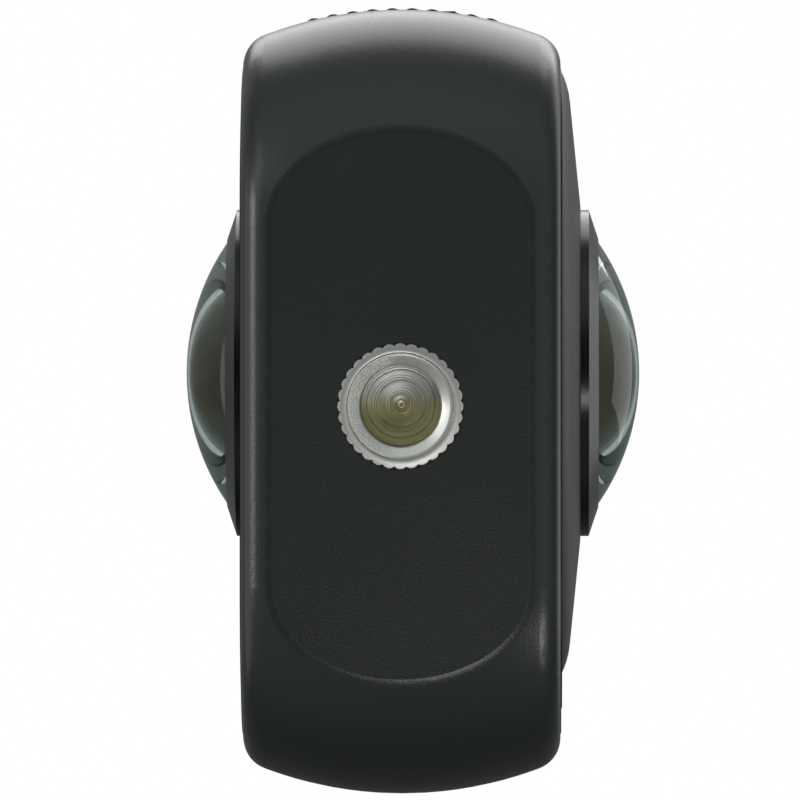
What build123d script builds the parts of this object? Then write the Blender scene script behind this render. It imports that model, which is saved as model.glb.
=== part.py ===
"""A slim pocket camera with two opposed dome lenses that see all round.

The camera stands on the small flat under it. X runs across its width, with the battery on the +X side and
the sockets on the -X side. Y runs through its depth, with the display and buttons on the front at -Y.
Z runs up, with the lenses near the top. The origin is the mouth of the tripod thread, in the middle of the
flat. All sizes are millimetres.
"""

import os
from math import asin, degrees, sqrt

from build123d import *

os.makedirs("parts", exist_ok=True)

# Casing
body_width = 48.5
body_height = 115.0
face_depth = 19.6
side_radius = 24.0
edge_radius = 2.0
top_flat = 2.0
bottom_flat = 11.1
bottom_crown = 1.4
facet_blend = 1.2
wall = 3.6
overrun = 1.0

# Covers on both faces
cover_inset = 3.6
cover_thickness = 1.0
cover_proud = 0.05
cover_gap = 0.1
lip_width = 1.5
lip_thickness = 0.7
swell_rim_radius = 11.2
swell_rim = 1.4
swell_shoulder_radius = 18.2
swell_shoulder = 0.7
swell_turn_radius = 19.5
swell_turn = 0.43
swell_foot_radius = 20.6
swell_foot_sink = 0.08
hook_width = 3.4
hook_spread = 3.2
hook_reach = 0.8
hook_thickness = 0.6
hook_wall = 1.2
hook_gap = 0.4
hook_back_gap = 0.15

# Grips let into the covers
grip_margin = 1.5
grip_depth = 0.6
grip_proud = 0.05
grip_gap = 0.08
front_grip_drop = 3.6
rear_grip_drop = 23.0

# Tripod socket
thread_radius = 2.5
thread_length = 6.0
thread_mouth_radius = 3.25
insert_floor = 0.8
knurl_radius = 3.9
knurl_teeth = 32
knurl_groove_radius = 0.26
insert_boss_radius = 5.5
insert_boss_roof = 1.4

# Lenses, with depths given from the middle plane of the casing outwards
lens_drop = 24.0
bezel_radius = 10.95
bezel_edge_drop = 0.65
bezel_lip_radius = 9.0
bezel_lip_proud = 0.11
bezel_seat_depth = 10.2
dome_radius = 15.4
dome_rise = 5.35
dome_rim_radius = 9.3
dome_hollow_radius = 6.5
dome_wall = 1.4
glass_gap = 0.05
barrel_neck_gap = 0.05
barrel_radius = 9.6
barrel_flange_radius = 12.4
barrel_flange_depth = 8.3
barrel_flange_thickness = 0.6
barrel_foot_radius = 8.0
barrel_foot_height = 2.0
rear_group_radius = 3.55
rear_group_length = 2.2
rear_group_bulge = 0.5
rear_group_lip = 0.75
middle_lens_radius = 5.25
middle_lens_head_gap = 0.2
throat_radius = 8.6
throat_depth = 1.4
seal_width = 1.0
cover_hole_gap = 0.1

# Lens carrier and the boards on it
carrier_thickness = 2.0
carrier_gap = 0.3
carrier_drop = 13.0
carrier_rise = 15.0
carrier_boss_radius = 2.4
carrier_boss_length = 3.0
carrier_boss_root = 0.45
carrier_boss_drop = 8.0
carrier_boss_rise = 10.0
sensor_board_side = 17.0
sensor_board_thickness = 0.8
sensor_width = 8.0
sensor_height = 6.6
sensor_thickness = 0.9
antenna_width = 13.0
antenna_depth = 5.0
antenna_thickness = 0.8
antenna_block = 1.6

# Battery and its bay
socket_room = 16.0
cell_depth = 9.0
cell_low = 15.0
cell_top_drop = 9.0
cell_edge = 1.0
cell_reach = 0.2
bay_gap = 0.3
bay_end_gap = 0.6
bay_wall = 0.6
cap_width = 13.3
cap_low = 12.0
cap_top_drop = 6.0
cap_seat_inset = 2.1
cap_gap = 0.1
cap_plug_gap = 0.15
plug_width = 9.4
plug_end_inset = 2.9
rib_pitch = 1.24
rib_count = 10
rib_radius = 0.68
rib_centre_depth = 0.58
seal_ring_width = 0.7
seal_ring_depth = 0.45
seal_groove_depth = 0.5
seal_groove_gap = 0.1
pad_count = 4
pad_width = 1.6
pad_height = 2.2
pad_pitch = 2.5
pad_thickness = 0.15
contact_gap = 0.05
contact_pin_radius = 0.4
contact_block_width = 6.4
contact_block_thickness = 1.4

# Battery latch
latch_width = 6.0
latch_length = 7.5
latch_drop = 10.5
latch_floor = 1.4
latch_travel = 1.5
latch_gap = 0.05
latch_pocket_gap = 0.15
latch_end_gap = 0.4
latch_crown_sink = 0.1
tongue_width = 4.0
tongue_thickness = 0.7
tongue_tip_gap = 0.1
latch_ridge_radius = 0.3
latch_ridge_count = 3
latch_ridge_pitch = 1.4

# Inner chassis
post_x = 12.0
post_height = 11.0
post_radius = 2.2
post_gap = 0.3
web_width = 4.0
web_root = 1.5
foot_width = 3.0
foot_depth = 5.0
flange_thickness = 2.0
board_foot_width = 17.0
board_foot_low = 9.8
board_ear_low_x = 0.5
board_ear_width = 13.0
board_ear_height = 5.6
shelf_reach = 7.6

# Screws
screw_head_radius = 1.3
screw_head_height = 0.7
screw_shank_radius = 0.7
screw_length = 4.0
screw_hole_gap = 0.03
drive_radius = 0.55
drive_depth = 0.35
board_screw_length = 2.2

# Boards and what they carry
board_gap = 0.3
board_thickness = 0.8
board_side_gap = 8.0
board_low = 14.8
board_top_drop = 0.5
board_screw_low = 12.0
board_screw_spread = 5.0
processor_side = 12.0
processor_gap = 3.0
memory_width = 8.0
memory_height = 11.0
memory_pitch = 10.0
memory_rise = 5.0
chip_height = 1.2
spreader_inset = 3.0
spreader_margin = 3.0
spreader_thickness = 0.4
button_board_half_width = 8.0
button_board_drop = 4.5
button_board_rise = 6.5
switch_side = 4.4
switch_height = 1.0
switch_well_radius = 0.9
switch_well_spare = 0.2

# Buttons, display and light on the front
shutter_drop = 14.0
shutter_radius = 5.5
power_drop = 11.0
power_radius = 3.0
button_gap = 0.1
button_proud = 0.05
button_flange = 0.7
button_flange_thickness = 0.6
button_rest_gap = 0.05
stem_radius = 0.7
stem_entry = 0.2
button_travel = 0.4
button_dish = 0.25
display_drop = 26.5
window_radius = 5.5
window_thickness = 0.6
window_gap = 0.05
window_ledge = 0.6
panel_side = 11.6
panel_thickness = 1.2
light_drop = 5.9
light_width = 3.2
light_thickness = 1.2
light_length = 2.6

# Sockets on the -X side
port_width = 14.0
port_low = 18.0
port_rise = 2.0
port_seat_inset = 2.1
port_proud = 0.05
port_gap = 0.05
usb_height = 26.0
usb_width = 8.94
usb_thickness = 3.2
usb_wall = 0.3
usb_length = 7.3
usb_recess = 0.6
usb_gap = 0.1
tongue_side = 6.7
usb_tongue_thickness = 0.7
usb_tongue_length = 4.6
usb_back = 1.2
port_board_thickness = 0.8
port_board_half_width = 5.0
port_board_length = 7.2
bracket_thickness = 0.8
card_width = 11.0
card_length = 15.0
card_thickness = 1.0
card_recess = 0.3
card_gap = 0.2
card_shell = 0.35
speaker_contact_gap = 3.0
speaker_height = 8.0
speaker_width = 8.0
speaker_depth = 3.6
sound_hole_radius = 0.5
sound_hole_pitch = 1.8

# Microphones under the top
mic_spread = 8.0
mic_width = 3.5
mic_depth = 2.65
mic_height = 1.0
mic_seat_drop = 6.4
mic_hole_radius = 0.5
mic_pad_margin = 0.8

# Places worked out from the sizes
half_width = body_width / 2
half_depth = face_depth / 2
cover_face = half_depth + cover_proud
cover_back = cover_face - cover_thickness
cavity_depth = cover_back - lip_thickness
opening_inset = cover_inset + lip_width
bottom_corner_radius = half_width - bottom_flat
top_corner_radius = half_width - top_flat
bottom_axis_z = bottom_corner_radius - bottom_crown
top_axis_z = body_height - top_corner_radius
cavity_half_width = half_width - wall
cavity_floor = wall - bottom_crown
insert_height = thread_length + insert_floor
lens_height = body_height - lens_drop
lens_axis = Axis((0, 0, lens_height), (0, 1, 0))
carrier_low = lens_height - carrier_drop
carrier_high = lens_height + carrier_rise
cell_outer = cavity_half_width + cell_reach
cell_inner = socket_room - wall + cell_reach - half_width
cell_top = carrier_low - cell_top_drop
bay_depth = cell_depth / 2 + bay_gap
bay_low = cell_low - bay_gap
bay_high = cell_top + bay_gap
bay_end = cell_inner - bay_end_gap
chassis_end = bay_end - bay_wall
chassis_low = bay_low - bay_wall
chassis_high = bay_high + bay_wall
chassis_depth = bay_depth + bay_wall
cap_seat = half_width - cap_seat_inset
cap_top = carrier_low - cap_top_drop
plug_low = cap_low + plug_end_inset
plug_high = cap_top - plug_end_inset
latch_low = cap_top - latch_drop
board_near = chassis_depth + board_gap
board_far = board_near + board_thickness
board_half_width = half_width - board_side_gap
board_high = chassis_high - board_top_drop
spreader_near = board_far + chip_height
button_board_far = -chassis_depth
button_board_near = button_board_far - board_thickness
switch_near = button_board_near - switch_height
switch_well_depth = stem_entry + button_travel + switch_well_spare
display_height = lens_height - display_drop
shutter_height = display_height - shutter_drop
power_height = shutter_height - power_drop
light_height = power_height - light_drop
screw_hole_radius = screw_shank_radius + screw_hole_gap
head_hole_radius = screw_head_radius + cover_gap


def face_plane(depth):
    """A sketch plane parallel to the two faces: its x is X and its y is Z."""
    return Plane.XZ.offset(-depth)


def span(x, y, z):
    """A box between two places on each axis."""
    with BuildPart() as made:
        with Locations(((x[0] + x[1]) / 2, (y[0] + y[1]) / 2, (z[0] + z[1]) / 2)):
            Box(x[1] - x[0], y[1] - y[0], z[1] - z[0])
    return made.part


def pins_through(spots, radius, near, far):
    """Round pins along Y at places given as (x, z), between two depths."""
    with BuildPart() as made:
        with BuildSketch(face_plane(far)):
            with Locations(*spots):
                Circle(radius)
        extrude(amount=far - near)
    return made.part


def pins_across(spots, radius, left, right):
    """Round pins along X at places given as (y, z), between two widths."""
    with BuildPart() as made:
        with BuildSketch(Plane.YZ.offset(left)):
            with Locations(*spots):
                Circle(radius)
        extrude(amount=right - left)
    return made.part


def outline_slab(inset, near, far):
    """The casing's front outline, a given distance inside its crown, between two depths."""
    low = inset - bottom_crown
    high = body_height - inset
    with BuildPart() as made:
        with BuildSketch(face_plane(far)) as face:
            with Locations((0, (low + high) / 2)):
                Rectangle(2 * (half_width - inset), high - low)
            fillet(face.vertices().group_by(Axis.Y)[0], bottom_corner_radius - inset)
            fillet(face.vertices().group_by(Axis.Y)[-1], top_corner_radius - inset)
        extrude(amount=far - near)
    return made.part


def rim_section(plane, reach):
    """Half the casing's section: a crowned side, rounded into two flat faces."""
    shoulder = reach - side_radius + sqrt(side_radius**2 - half_depth**2)
    with BuildSketch(plane) as section:
        with BuildLine():
            flat = Polyline(
                (shoulder, half_depth), (0, half_depth), (0, -half_depth), (shoulder, -half_depth)
            )
            ThreePointArc(flat @ 1, (reach, 0), flat @ 0)
        make_face()
        fillet(section.vertices().group_by(Axis.X)[-1], edge_radius)
    return section.sketch


def crown_band(half_band, inner, proud, low, high):
    """A strip of the +X side: flat inside, crowned outside, between two heights."""
    centre = half_width - side_radius
    reach = side_radius + proud
    edge = centre + sqrt(reach**2 - half_band**2)
    with BuildPart() as made:
        with BuildSketch(Plane.XY.offset(low)):
            with BuildLine():
                flat = Polyline(
                    (edge, half_band), (inner, half_band), (inner, -half_band), (edge, -half_band)
                )
                ThreePointArc(flat @ 1, (centre + reach, 0), flat @ 0)
            make_face()
        extrude(amount=high - low)
    return made.part


def finish(part, name):
    """Label a finished piece and write it."""
    part.label = name
    export_step(part, f"parts/{name}.step")


# Crowned block that the casing is cut from
with BuildPart() as blank:
    extrude(rim_section(Plane.XY.offset(bottom_axis_z), half_width), amount=top_axis_z - bottom_axis_z)
    foot_plane = Plane((0, 0, bottom_axis_z), x_dir=(0, 0, -1), z_dir=(1, 0, 0))
    extrude(rim_section(foot_plane, bottom_corner_radius), amount=bottom_flat)
    foot_corner = Plane.XY.move(Location((bottom_flat, 0, bottom_axis_z)))
    revolve(
        rim_section(foot_corner, bottom_corner_radius),
        axis=Axis((bottom_flat, 0, bottom_axis_z), (0, 1, 0)),
        revolution_arc=90,
    )
    head_plane = Plane((0, 0, top_axis_z), x_dir=(0, 0, 1), z_dir=(1, 0, 0))
    extrude(rim_section(head_plane, top_corner_radius), amount=top_flat)
    head_corner = Plane.XY.move(Location((top_flat, 0, top_axis_z)))
    revolve(
        rim_section(head_corner, top_corner_radius),
        axis=Axis((top_flat, 0, top_axis_z), (0, -1, 0)),
        revolution_arc=90,
    )
    mirror(about=Plane.YZ)
    split(bisect_by=Plane.XY, keep=Keep.TOP)
    fillet(blank.edges().group_by(Axis.Z)[0], facet_blend)

# Main frame, with the cavity, the seats of both covers and every hole in its rim
recess_half = cap_width / 2 + cap_gap
plug_half = plug_width / 2 + cap_plug_gap
groove_half = plug_half + seal_ring_width + 2 * seal_groove_gap
groove_rise = cap_plug_gap + seal_ring_width + 2 * seal_groove_gap
port_seat = half_width - port_seat_inset
port_half = port_width / 2 + port_gap
port_high = carrier_low + port_rise
card_height = chassis_high + card_shell + card_gap + card_thickness / 2
card_outer = -half_width + card_recess
card_inner = card_outer + card_length
card_slot_half = card_width / 2 + card_gap
pad_low = (cell_low + cell_top - pad_count * pad_pitch) / 2
contact_low = pad_low - pad_pitch / 2
contact_high = pad_low + pad_count * pad_pitch
speaker_low = contact_high + speaker_contact_gap
speaker_middle = speaker_low + speaker_height / 2
speaker_spots = [(n * sound_hole_pitch, speaker_middle) for n in (-1, 0, 1)]
usb_slot_width = usb_width + 2 * usb_gap
usb_slot_height = usb_thickness + 2 * usb_gap
carrier_side = half_width - wall - carrier_boss_radius + carrier_boss_root
boss_orbit = top_corner_radius - wall - carrier_boss_radius + carrier_boss_root
boss_low = lens_height - carrier_boss_drop
boss_high = lens_height + carrier_boss_rise
carrier_upper_side = top_flat + sqrt(boss_orbit**2 - (boss_high - top_axis_z) ** 2)
carrier_spots = [
    (side * x, z)
    for x, z in ((carrier_side, boss_low), (carrier_upper_side, boss_high))
    for side in (-1, 1)
]
carrier_near = -carrier_thickness / 2
carrier_far = carrier_thickness / 2
tongue_low_x = cap_seat + latch_floor - tongue_thickness
latch_top = latch_low + latch_length
tongue_tip = cap_top - tongue_tip_gap
catch_high = tongue_tip + latch_travel + tongue_tip_gap
mic_seat_height = body_height - mic_seat_drop
mic_ceiling = body_height - wall

with BuildPart() as main_frame:
    add(blank.part)
    add(outline_slab(wall, -cavity_depth, cavity_depth), mode=Mode.SUBTRACT)
    add(outline_slab(cover_inset, -half_depth - overrun, -cover_back), mode=Mode.SUBTRACT)
    add(outline_slab(cover_inset, cover_back, half_depth + overrun), mode=Mode.SUBTRACT)
    add(outline_slab(opening_inset, -cover_back - overrun, cover_back + overrun), mode=Mode.SUBTRACT)
    # boss for the tripod socket
    with BuildSketch(Plane.XY.offset(cavity_floor)):
        Circle(insert_boss_radius)
    extrude(amount=insert_height + insert_boss_roof - cavity_floor)
    with BuildSketch(Plane.XY):
        Circle(knurl_radius)
    extrude(amount=insert_height, mode=Mode.SUBTRACT)
    # bosses for the lens carrier
    add(pins_through(carrier_spots, carrier_boss_radius, carrier_near - carrier_boss_length, carrier_near))
    add(
        pins_through(carrier_spots, screw_hole_radius, carrier_near - carrier_boss_length, carrier_near),
        mode=Mode.SUBTRACT,
    )
    # recess and mouth for the battery cap, with the seal's groove and the latch's catch
    add(
        span(
            (cap_seat, half_width + overrun),
            (-recess_half, recess_half),
            (cap_low - cap_gap, cap_top + cap_gap),
        ),
        mode=Mode.SUBTRACT,
    )
    add(
        span(
            (cavity_half_width - overrun, cap_seat),
            (-plug_half, plug_half),
            (plug_low - cap_plug_gap, plug_high + cap_plug_gap),
        ),
        mode=Mode.SUBTRACT,
    )
    add(
        span(
            (cap_seat - seal_groove_depth, cap_seat),
            (-groove_half, groove_half),
            (plug_low - groove_rise, plug_high + groove_rise),
        ),
        mode=Mode.SUBTRACT,
    )
    add(
        span(
            (tongue_low_x - latch_gap, tongue_low_x + tongue_thickness + latch_gap),
            (-tongue_width / 2 - latch_pocket_gap, tongue_width / 2 + latch_pocket_gap),
            (cap_top, catch_high + tongue_tip_gap),
        ),
        mode=Mode.SUBTRACT,
    )
    # recess for the port bezel, and the holes behind it
    add(
        span(
            (-half_width - overrun, -port_seat),
            (-port_half, port_half),
            (port_low - port_gap, port_high + port_gap),
        ),
        mode=Mode.SUBTRACT,
    )
    with BuildSketch(Plane.YZ.offset(-port_seat)):
        with Locations((0, usb_height)):
            SlotOverall(usb_slot_width, usb_slot_height)
    extrude(amount=port_seat - cavity_half_width + overrun, mode=Mode.SUBTRACT)
    add(
        span(
            (-port_seat, -cavity_half_width + overrun),
            (-card_slot_half, card_slot_half),
            (card_height - card_thickness / 2 - card_gap, card_height + card_thickness / 2 + card_gap),
        ),
        mode=Mode.SUBTRACT,
    )
    add(
        pins_across(speaker_spots, sound_hole_radius, -port_seat, -cavity_half_width + overrun),
        mode=Mode.SUBTRACT,
    )
    # pads and holes for the microphones
    for side in (-1, 1):
        add(
            span(
                (
                    side * mic_spread - mic_width / 2 - mic_pad_margin,
                    side * mic_spread + mic_width / 2 + mic_pad_margin,
                ),
                (-mic_depth / 2 - mic_pad_margin, mic_depth / 2 + mic_pad_margin),
                (mic_seat_height, mic_ceiling),
            )
        )
    with BuildSketch(Plane.XY.offset(mic_seat_height)):
        with Locations((-mic_spread, 0), (mic_spread, 0)):
            Circle(mic_hole_radius)
    extrude(amount=body_height - mic_seat_height, mode=Mode.SUBTRACT)
finish(main_frame.part, "main_frame")

# Knurled tripod socket, blind, with a chamfered mouth
mouth_depth = thread_mouth_radius - thread_radius
with BuildPart() as tripod_insert:
    with BuildSketch(Plane.XY):
        Circle(knurl_radius)
        with PolarLocations(knurl_radius, knurl_teeth):
            Circle(knurl_groove_radius, mode=Mode.SUBTRACT)
    extrude(amount=insert_height)
    with BuildSketch(Plane.XZ):
        with BuildLine():
            Polyline(
                (0, -overrun),
                (thread_mouth_radius + overrun, -overrun),
                (thread_radius, mouth_depth),
                (thread_radius, thread_length),
                (0, thread_length),
                close=True,
            )
        make_face()
    revolve(axis=Axis.Z, mode=Mode.SUBTRACT)
finish(tripod_insert.part, "tripod_insert")

# Covers: a plate in the frame's rebate that swells up round the lens, with two hooks at its top
cover_edge = cover_inset + cover_gap
cover_top = body_height - cover_edge
hook_low = cover_top - lip_width - hook_wall - hook_gap
hook_high = hook_low + hook_wall
lens_hole_radius = bezel_radius + cover_hole_gap
grip_inset = cover_edge + grip_margin
grip_floor = cover_face - grip_depth
front_grip_top = light_height - front_grip_drop
rear_grip_top = lens_height - rear_grip_drop
screw_spots = [(-post_x, post_height), (post_x, post_height)]
post_end = cavity_depth - post_gap
head_seat = grip_floor - screw_head_height


def plain_cover(side):
    """The part of a cover that both faces share; side is 1 at the rear and -1 at the front."""
    with BuildPart() as made:
        with BuildSketch(Plane((0, 0, lens_height), x_dir=(1, 0, 0), z_dir=(0, 0, 1))):
            with BuildLine():
                rim = Polyline(
                    (swell_foot_radius, cover_face - swell_foot_sink),
                    (swell_foot_radius, cover_back),
                    (lens_hole_radius, cover_back),
                    (lens_hole_radius, cover_face + swell_rim),
                    (swell_rim_radius, cover_face + swell_rim),
                    (swell_shoulder_radius, cover_face + swell_shoulder),
                )
                ThreePointArc(rim @ 1, (swell_turn_radius, cover_face + swell_turn), rim @ 0)
            make_face()
        revolve(axis=lens_axis)
        add(outline_slab(cover_edge, cover_back, cover_face))
        add(outline_slab(cover_edge, cover_back, cover_face + 2 * swell_rim), mode=Mode.INTERSECT)
        add(pins_through([(0, lens_height)], lens_hole_radius, cavity_depth, cover_face + 2 * swell_rim),
            mode=Mode.SUBTRACT)
        hook_far = cavity_depth - hook_back_gap
        hook_near = hook_far - hook_thickness
        for hook_x in (-hook_spread, hook_spread):
            hook_across = (hook_x - hook_width / 2, hook_x + hook_width / 2)
            add(span(hook_across, (hook_near, cover_back), (hook_low, hook_high)))
            add(span(hook_across, (hook_near, hook_far), (hook_low, hook_high + hook_reach)))
        add(pins_through(screw_spots, post_radius, post_end, cover_back))
        add(pins_through(screw_spots, screw_hole_radius, post_end, cover_face), mode=Mode.SUBTRACT)
        add(pins_through(screw_spots, head_hole_radius, head_seat, cover_face), mode=Mode.SUBTRACT)
        if side < 0:
            mirror(about=Plane.XZ)
            split(bisect_by=Plane.XZ, keep=Keep.TOP)
    return made.part


def grip_blank(top, gap):
    """A grip's outline at the rear face, cut level at its top."""
    with BuildPart() as made:
        add(outline_slab(grip_inset + gap, grip_floor, cover_face + grip_proud))
        add(
            span(
                (-half_width, half_width),
                (grip_floor, cover_face + grip_proud),
                (0, top - gap),
            ),
            mode=Mode.INTERSECT,
        )
    return made.part


with BuildPart() as rear_cover:
    add(plain_cover(1))
    add(grip_blank(rear_grip_top, 0), mode=Mode.SUBTRACT)
finish(rear_cover.part, "rear_cover")

with BuildPart() as rear_grip:
    add(grip_blank(rear_grip_top, grip_gap))
finish(rear_grip.part, "rear_grip")

window_spot = [(0, display_height)]
shutter_spot = [(0, shutter_height)]
power_spot = [(0, power_height)]
window_back = -cover_face + window_thickness
light_across = (-light_width / 2, light_width / 2)
light_up = (light_height - light_thickness / 2, light_height + light_thickness / 2)

with BuildPart() as front_cover:
    add(plain_cover(-1))
    add(mirror(grip_blank(front_grip_top, 0), about=Plane.XZ, mode=Mode.PRIVATE), mode=Mode.SUBTRACT)
    add(pins_through(window_spot, window_radius + window_gap, -cover_face - overrun, window_back),
        mode=Mode.SUBTRACT)
    for spot, hole_radius in (
        (window_spot, window_radius - window_ledge),
        (shutter_spot, shutter_radius + button_gap),
        (power_spot, power_radius + button_gap),
    ):
        add(pins_through(spot, hole_radius, -cover_face, -cover_back), mode=Mode.SUBTRACT)
    add(span(light_across, (-cover_face, -cover_back), light_up), mode=Mode.SUBTRACT)
finish(front_cover.part, "front_cover")

with BuildPart() as front_grip:
    add(mirror(grip_blank(front_grip_top, grip_gap), about=Plane.XZ, mode=Mode.PRIVATE))
finish(front_grip.part, "front_grip")

# Display behind its round window, and the status light
with BuildPart() as display_window:
    add(pins_through(window_spot, window_radius, -cover_face, window_back))
finish(display_window.part, "display_window")

with BuildPart() as display_panel:
    add(
        span(
            (-panel_side / 2, panel_side / 2),
            (-cover_back, panel_thickness - cover_back),
            (display_height - panel_side / 2, display_height + panel_side / 2),
        )
    )
finish(display_panel.part, "display_panel")

with BuildPart() as status_light:
    add(span(light_across, (-cover_face, -cover_back), light_up))
    add(
        span(
            (-light_width / 2 - window_ledge, light_width / 2 + window_ledge),
            (-cover_back, light_length - cover_back),
            (light_up[0] - window_ledge, light_up[1] + window_ledge),
        )
    )
finish(status_light.part, "status_light")


def push_button(height, radius):
    """A button: a dished cap in the cover, a flange behind it and a stem to its switch."""
    cap_face = -cover_face - button_proud
    flange_near = button_rest_gap - cover_back
    flange_far = flange_near + button_flange_thickness
    spot = [(0, height)]
    dish_sphere = (radius**2 + button_dish**2) / (2 * button_dish)
    with BuildPart() as made:
        add(pins_through(spot, radius, cap_face, flange_near))
        add(pins_through(spot, radius + button_flange, flange_near, flange_far))
        add(pins_through(spot, stem_radius, flange_far, switch_near + stem_entry))
        with Locations((0, cap_face + button_dish - dish_sphere, height)):
            Sphere(dish_sphere, mode=Mode.SUBTRACT)
        edges = made.edges().filter_by(GeomType.CIRCLE).group_by(Axis.Y)[0]
        fillet(edges, button_proud)
    return made.part


with BuildPart() as shutter_button:
    add(push_button(shutter_height, shutter_radius))
finish(shutter_button.part, "shutter_button")

with BuildPart() as power_button:
    add(push_button(power_height, power_radius))
finish(power_button.part, "power_button")

# Board under the buttons, with a small dome switch behind each stem
with BuildPart() as button_board:
    add(
        span(
            (-button_board_half_width, button_board_half_width),
            (button_board_near, button_board_far),
            (power_height - button_board_drop, shutter_height + button_board_rise),
        )
    )
finish(button_board.part, "button_board")


def tact_switch(height):
    """A square switch with a well that the stem of its button moves in."""
    half = switch_side / 2
    with BuildPart() as made:
        add(span((-half, half), (switch_near, button_board_near), (height - half, height + half)))
        add(
            pins_through([(0, height)], switch_well_radius, switch_near, switch_near + switch_well_depth),
            mode=Mode.SUBTRACT,
        )
    return made.part


with BuildPart() as shutter_switch:
    add(tact_switch(shutter_height))
finish(shutter_switch.part, "shutter_switch")

with BuildPart() as power_switch:
    add(tact_switch(power_height))
finish(power_switch.part, "power_switch")

# Inner chassis: the battery bay, posts for the cover screws, feet, and flanges for the boards
foot_inner = bottom_flat - foot_width
ear_high = chassis_high + board_ear_height
ear_middle = board_ear_low_x + board_ear_width / 2
board_screws_at = [(-board_screw_spread, board_screw_low), (board_screw_spread, board_screw_low)]
board_screws_at.append((ear_middle, chassis_high + board_ear_height / 2))
bracket_top = usb_height - usb_thickness / 2 - port_board_thickness
bracket_outer = -cavity_half_width + board_gap
# the webs reach in under the end of the bay, also where the posts stand outside it
web_inner = min(post_x - web_width / 2, -chassis_end - web_root)

with BuildPart() as inner_chassis:
    add(
        span(
            (chassis_end, cavity_half_width), (-chassis_depth, chassis_depth), (chassis_low, chassis_high)
        )
    )
    # shelf under the card socket, and bracket under the socket board
    add(span((chassis_end - shelf_reach, chassis_end), (-chassis_depth, chassis_depth),
             (bay_high, chassis_high)))
    add(
        span(
            (bracket_outer, chassis_end),
            (-port_board_half_width, port_board_half_width),
            (bracket_top - bracket_thickness, bracket_top),
        )
    )
    # posts across the depth, webs up to the bay and feet down to the casing's floor
    add(pins_through(screw_spots, post_radius, -post_end, post_end))
    for side in (-1, 1):
        web_x = sorted((side * web_inner, side * (post_x + web_width / 2)))
        add(span(web_x, (-chassis_depth, chassis_depth), (post_height, chassis_low)))
        foot_x = sorted((side * foot_inner, side * (foot_inner + foot_width)))
        add(span(foot_x, (-foot_depth / 2, foot_depth / 2), (cavity_floor, post_height)))
    # flanges that the main board is screwed to
    add(
        span(
            (-board_foot_width / 2, board_foot_width / 2),
            (board_near - flange_thickness, board_near),
            (board_foot_low, chassis_low),
        )
    )
    add(
        span(
            (board_ear_low_x, board_ear_low_x + board_ear_width),
            (board_near - flange_thickness, board_near),
            (chassis_high, ear_high),
        )
    )
    # the bay itself, open at the +X side
    add(
        span((bay_end, cavity_half_width), (-bay_depth, bay_depth), (bay_low, bay_high)),
        mode=Mode.SUBTRACT,
    )
    add(
        span(
            (chassis_end, bay_end),
            (-contact_pin_radius * 2, contact_pin_radius * 2),
            (contact_low, contact_high),
        ),
        mode=Mode.SUBTRACT,
    )
    add(pins_through(screw_spots, screw_hole_radius, -post_end, post_end),
        mode=Mode.SUBTRACT)
    add(
        pins_through(
            board_screws_at, screw_hole_radius, board_near - flange_thickness, board_near
        ),
        mode=Mode.SUBTRACT,
    )
finish(inner_chassis.part, "inner_chassis")

# Sprung pins at the end of the bay that meet the pads of the battery
pin_tip = cell_inner - pad_thickness - contact_gap
pin_spots = [(0, pad_low + (n + 0.5) * pad_pitch - pad_pitch / 4) for n in range(pad_count)]
with BuildPart() as battery_contacts:
    add(
        span(
            (chassis_end - contact_block_thickness, chassis_end),
            (-contact_block_width / 2, contact_block_width / 2),
            (contact_low, contact_high),
        )
    )
    add(pins_across(pin_spots, contact_pin_radius, chassis_end, pin_tip))
finish(battery_contacts.part, "battery_contacts")

# Battery: cell, contact pads, outer cap with ribs, seal and latch
with BuildPart() as battery_cell:
    add(span((cell_inner, cell_outer), (-cell_depth / 2, cell_depth / 2), (cell_low, cell_top)))
    fillet(battery_cell.edges().filter_by(Axis.X), cell_edge)
finish(battery_cell.part, "battery_cell")

with BuildPart() as battery_pads:
    for spot in pin_spots:
        add(
            span(
                (cell_inner - pad_thickness, cell_inner),
                (-pad_width, pad_width),
                (spot[1] - pad_height / 2, spot[1] + pad_height / 2),
            )
        )
finish(battery_pads.part, "battery_pads")

latch_floor_x = cap_seat + latch_floor - tongue_thickness - latch_gap
pocket_half = latch_width / 2 + latch_pocket_gap
pocket_low = latch_low - latch_pocket_gap
pocket_high = latch_top + latch_travel + latch_end_gap
crown_centre = half_width - side_radius
rib_angle = degrees(asin(rib_pitch / side_radius))

with BuildPart() as battery_cap:
    add(crown_band(cap_width / 2, cap_seat, 0, cap_low, cap_top))
    with BuildSketch(Plane.XY.offset(cap_low)) as ribs:
        with Locations((crown_centre, 0)):
            with PolarLocations(
                side_radius - rib_centre_depth,
                rib_count,
                start_angle=-rib_angle * (rib_count - 1) / 2,
                angular_range=rib_angle * (rib_count - 1),
                endpoint=True,
            ):
                Circle(rib_radius)
    extrude(amount=cap_top - cap_low)
    add(
        span(
            (cell_outer, cap_seat),
            (-plug_width / 2, plug_width / 2),
            (plug_low, plug_high),
        )
    )
    add(
        span(
            (latch_floor_x, half_width + overrun), (-pocket_half, pocket_half), (pocket_low, pocket_high)
        ),
        mode=Mode.SUBTRACT,
    )
    add(
        span(
            (latch_floor_x, tongue_low_x + tongue_thickness + latch_gap),
            (-tongue_width / 2 - latch_pocket_gap, tongue_width / 2 + latch_pocket_gap),
            (pocket_high, cap_top),
        ),
        mode=Mode.SUBTRACT,
    )
finish(battery_cap.part, "battery_cap")

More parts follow.
